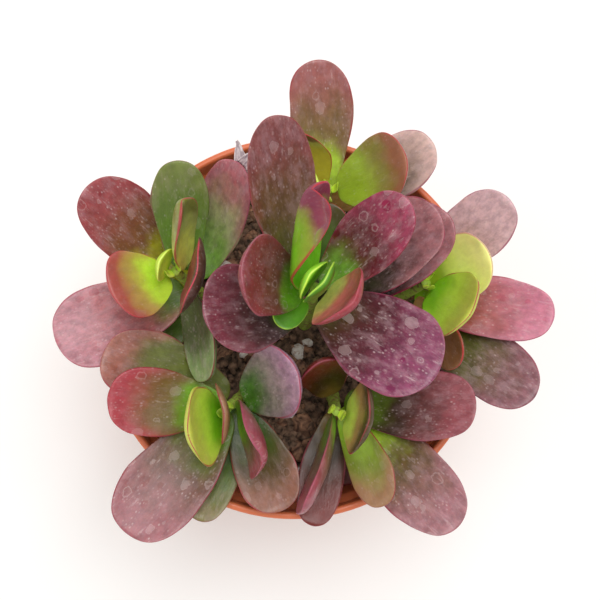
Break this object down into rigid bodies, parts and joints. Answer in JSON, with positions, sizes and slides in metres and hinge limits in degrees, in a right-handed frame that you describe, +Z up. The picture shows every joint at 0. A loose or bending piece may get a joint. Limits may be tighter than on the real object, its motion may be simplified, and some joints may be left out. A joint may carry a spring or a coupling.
{
  "type": "potted succulent",
  "caption": "Round tapered nursery pot full of soil, with a clump of short upright shoots of broad, fleshy, paired leaves that spread over the rim.",
  "frame": {"origin": "centre of the pot's flat underside, on the surface that it stands on", "axes": "+Z up along the pot's axis; +Y towards the back of the plant, where one long leaf reaches furthest over the rim; +X to the right"},
  "size_m": [0.1627, 0.1544, 0.1684],
  "materials": {
    "terracotta_plastic": "satin",
    "peat_mix": "matte",
    "green_stem": "satin",
    "burgundy_leaf": "satin",
    "lime_leaf": "satin"
  },
  "bodies": {
    "root": {"leaf_back_1": "burgundy_leaf", "leaf_back_2": "burgundy_leaf", "leaf_back_3": "burgundy_leaf", "leaf_back_4": "burgundy_leaf", "leaf_back_5": "lime_leaf", "leaf_centre_1": "burgundy_leaf", "leaf_centre_10": "lime_leaf", "leaf_centre_11": "burgundy_leaf", "leaf_centre_12": "lime_leaf", "leaf_centre_13": "lime_leaf", "leaf_centre_14": "lime_leaf", "leaf_centre_2": "burgundy_leaf", "leaf_centre_3": "burgundy_leaf", "leaf_centre_4": "burgundy_leaf", "leaf_centre_5": "burgundy_leaf", "leaf_centre_6": "burgundy_leaf", "leaf_centre_7": "burgundy_leaf", "leaf_centre_8": "burgundy_leaf", "leaf_centre_9": "burgundy_leaf", "leaf_front_left_1": "burgundy_leaf", "leaf_front_left_2": "burgundy_leaf", "leaf_front_left_3": "burgundy_leaf", "leaf_front_left_4": "burgundy_leaf", "leaf_front_left_5": "burgundy_leaf", "leaf_front_left_6": "burgundy_leaf", "leaf_front_left_7": "burgundy_leaf", "leaf_front_left_8": "lime_leaf", "leaf_front_left_9": "lime_leaf", "leaf_front_right_1": "burgundy_leaf", "leaf_front_right_2": "burgundy_leaf", "leaf_front_right_3": "burgundy_leaf", "leaf_front_right_4": "burgundy_leaf", "leaf_front_right_5": "burgundy_leaf", "leaf_front_right_6": "burgundy_leaf", "leaf_front_right_7": "lime_leaf", "leaf_front_right_8": "lime_leaf", "leaf_left_1": "burgundy_leaf", "leaf_left_10": "lime_leaf", "leaf_left_2": "burgundy_leaf", "leaf_left_3": "burgundy_leaf", "leaf_left_4": "burgundy_leaf", "leaf_left_5": "burgundy_leaf", "leaf_left_6": "burgundy_leaf", "leaf_left_7": "burgundy_leaf", "leaf_left_8": "lime_leaf", "leaf_left_9": "burgundy_leaf", "leaf_right_1": "burgundy_leaf", "leaf_right_2": "burgundy_leaf", "leaf_right_3": "burgundy_leaf", "leaf_right_4": "burgundy_leaf", "leaf_right_5": "lime_leaf", "leaf_right_6": "lime_leaf", "pot": "terracotta_plastic", "soil": "peat_mix", "stem_back": "green_stem", "stem_centre": "green_stem", "stem_front_left": "green_stem", "stem_front_right": "green_stem", "stem_left": "green_stem", "stem_right": "green_stem"}
  },
  "joints": []
}
